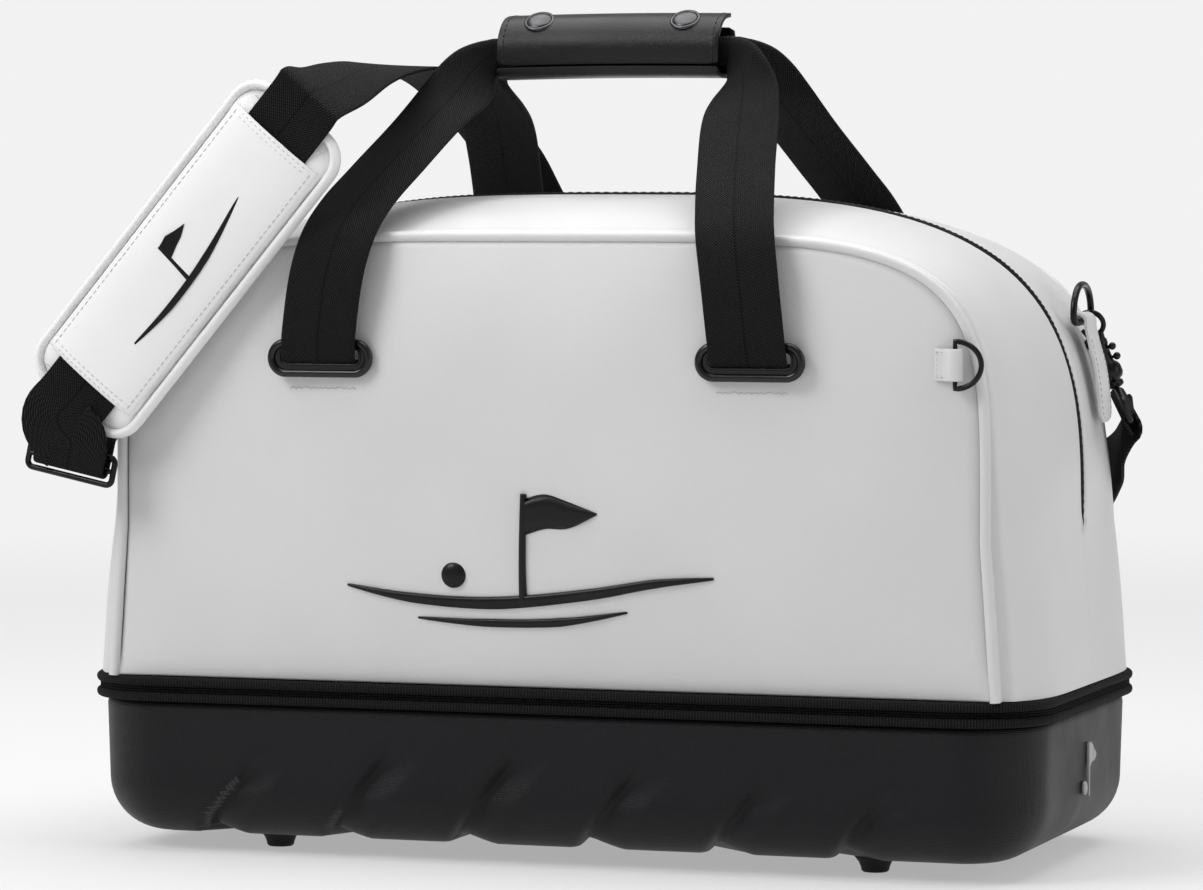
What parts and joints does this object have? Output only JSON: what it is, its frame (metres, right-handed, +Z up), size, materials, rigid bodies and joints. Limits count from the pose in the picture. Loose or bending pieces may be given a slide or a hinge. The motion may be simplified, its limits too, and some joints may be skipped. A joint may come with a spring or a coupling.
{
  "type": "golf shoe bag",
  "caption": "Soft-sided golf duffel bag on a hard moulded shoe compartment, with two web handles joined by a snap grip and a padded shoulder strap on swivel hooks.",
  "frame": {"origin": "on the floor, under the centre of the bag's footprint", "axes": "+X along the bag's length to the end with the accessory ring, -Y out of the front panel, +Z up"},
  "size_m": [0.5136, 0.2782, 0.414],
  "materials": {
    "white_leather": "smooth satin coated leather",
    "black_leather": "smooth satin",
    "webbing": "herringbone woven",
    "moulded_tray": "fine woven texture on moulded foam",
    "rubber": "satin",
    "zip_black": "matt tape and coil",
    "black_metal": "gloss black plated",
    "gloss_plastic": "gloss",
    "board": "matt lining",
    "badge_grey": "satin grey"
  },
  "bodies": {
    "tray": {"tray_shell": "moulded_tray", "foot_front_left": "rubber", "foot_front_right": "rubber", "foot_rear_left": "rubber", "foot_rear_right": "rubber", "tray_rim_band": "zip_black", "shoe_zip_lower": "zip_black", "rear_hinge_tape": "zip_black", "tray_badge": "badge_grey"},
    "upper": {"upper_rim_band": "zip_black", "shoe_zip_upper": "zip_black", "base_board": "board", "front_panel": "white_leather", "back_panel": "white_leather", "front_piping": "white_leather", "back_piping": "white_leather", "end_gusset_left": "white_leather", "end_gusset_right": "white_leather", "main_zip_left": "zip_black", "main_zip_right": "zip_black", "front_grommet_left": "gloss_plastic", "front_grommet_right": "gloss_plastic", "rear_grommet_left": "gloss_plastic", "rear_grommet_right": "gloss_plastic", "ring_tab_left": "white_leather", "ring_tab_right": "white_leather", "accessory_ring_tab": "white_leather", "strap_web": "webbing", "emblem_flag": "rubber", "emblem_fairway": "rubber"},
    "mouth_front": {"mouth_flap_front": "white_leather", "mouth_zip_front": "zip_black"},
    "mouth_rear": {"mouth_flap_rear": "white_leather", "mouth_zip_rear": "zip_black"},
    "front_handle": {"front_handle_web": "webbing"},
    "rear_handle": {"rear_handle_web": "webbing", "grip_wrap": "black_leather"},
    "grip_flap": {"grip_flap": "black_leather", "grip_snap_left": "black_metal", "grip_snap_right": "black_metal"},
    "main_slider": {"main_zip_slider": "black_metal"},
    "main_pull": {"main_zip_pull": "black_metal"},
    "shoe_slider": {"shoe_zip_slider": "black_metal"},
    "shoe_pull": {"shoe_zip_pull": "black_metal"},
    "accessory_ring": {"accessory_ring": "black_metal"},
    "right_ring": {"d_ring_right": "black_metal", "right_hook_bow": "black_metal", "right_hook_body": "black_metal", "right_hook_eye": "black_metal"},
    "right_gate": {"right_hook_gate": "black_metal"},
    "left_ring": {"d_ring_left": "black_metal", "left_hook_bow": "black_metal", "left_hook_body": "black_metal", "left_hook_eye": "black_metal"},
    "left_gate": {"left_hook_gate": "black_metal"},
    "strap_slide": {"strap_slide": "gloss_plastic", "strap_slide_bar": "gloss_plastic"},
    "shoulder_pad": {"shoulder_pad": "white_leather", "pad_sleeve": "white_leather", "pad_emblem": "rubber"}
  },
  "joints": [
    {"name": "shoe_compartment_hinge", "type": "hinge", "parent": "tray", "child": "upper", "pos_m": [0, 0.1186, 0.0805], "axis": [-1, 0, 0], "range_deg": [0, 90], "deforming": ["rear_hinge_tape"]},
    {"name": "mouth_front_flap", "type": "hinge", "parent": "upper", "child": "mouth_front", "pos_m": [0, -0.11, 0.3015], "axis": [1, 0, 0], "range_deg": [0, 25]},
    {"name": "mouth_rear_flap", "type": "hinge", "parent": "upper", "child": "mouth_rear", "pos_m": [0, 0.11, 0.3015], "axis": [-1, 0, 0], "range_deg": [0, 25]},
    {"name": "front_handle_fold", "type": "hinge", "parent": "upper", "child": "front_handle", "pos_m": [0, -0.1262, 0.2425], "axis": [1, 0, 0], "range_deg": [0, 165], "deforming": ["strap_web", "grip_flap", "grip_snap_left", "grip_snap_right", "shoulder_pad", "pad_sleeve", "pad_emblem"]},
    {"name": "rear_handle_fold", "type": "hinge", "parent": "upper", "child": "rear_handle", "pos_m": [0, 0.1262, 0.2425], "axis": [-1, 0, 0], "range_deg": [0, 165], "deforming": ["strap_web"]},
    {"name": "grip_flap_open", "type": "hinge", "parent": "rear_handle", "child": "grip_flap", "pos_m": [0, -0.0135, 0.3838], "axis": [1, 0, 0], "range_deg": [0, 135]},
    {"name": "main_zip_travel", "type": "slide", "parent": "upper", "child": "main_slider", "axis": [0.0499, 0, 0.9988], "range_m": [0, 0.045]},
    {"name": "main_pull_swing", "type": "hinge", "parent": "main_slider", "child": "main_pull", "pos_m": [-0.2443, 0, 0.18], "axis": [0, 1, 0], "range_deg": [0, 110]},
    {"name": "shoe_zip_travel", "type": "slide", "parent": "tray", "child": "shoe_slider", "axis": [0, -1, 0], "range_m": [0, 0.1]},
    {"name": "shoe_pull_swing", "type": "hinge", "parent": "shoe_slider", "child": "shoe_pull", "pos_m": [-0.25, 0.055, 0.079], "axis": [0, 1, 0], "range_deg": [0, 110]},
    {"name": "accessory_ring_swing", "type": "hinge", "parent": "upper", "child": "accessory_ring", "pos_m": [0.205, -0.1165, 0.243], "axis": [0, 0, 1], "range_deg": [-120, 0]},
    {"name": "right_ring_swing", "type": "hinge", "parent": "upper", "child": "right_ring", "pos_m": [0.2288, 0.033, 0.26], "axis": [0, -1, 0], "range_deg": [0, 30], "deforming": ["strap_web"]},
    {"name": "left_ring_swing", "type": "hinge", "parent": "upper", "child": "left_ring", "pos_m": [-0.2288, -0.033, 0.26], "axis": [0, 1, 0], "range_deg": [0, 30], "deforming": ["strap_web"]},
    {"name": "right_gate_open", "type": "hinge", "parent": "right_ring", "child": "right_gate", "pos_m": [0.22861, 0.05335, 0.25072], "axis": [0.0244, 0.9074, 0.4196], "range_deg": [0, 20], "stiffness_Nm_per_rad": 0.02},
    {"name": "left_gate_open", "type": "hinge", "parent": "left_ring", "child": "left_gate", "pos_m": [-0.22708, -0.05713, 0.25384], "axis": [0.0481, -0.6199, 0.7832], "range_deg": [0, 20], "stiffness_Nm_per_rad": 0.02},
    {"name": "strap_slide_tilt", "type": "hinge", "parent": "upper", "child": "strap_slide", "pos_m": [-0.2355, -0.1312, 0.1918], "axis": [0.9781, 0, -0.2079], "range_deg": [-12, 12], "deforming": ["strap_web"]},
    {"name": "pad_slide", "type": "slide", "parent": "upper", "child": "shoulder_pad", "axis": [0.6399, 0.03, 0.7679], "range_m": [-0.003, 0.015], "deforming": ["strap_web"]}
  ],
  "couplings": [
    {"joint": "mouth_rear_flap", "follows": "mouth_front_flap", "ratio": 1},
    {"joint": "grip_flap_open", "follows": "front_handle_fold", "ratio": 0.8}
  ]
}
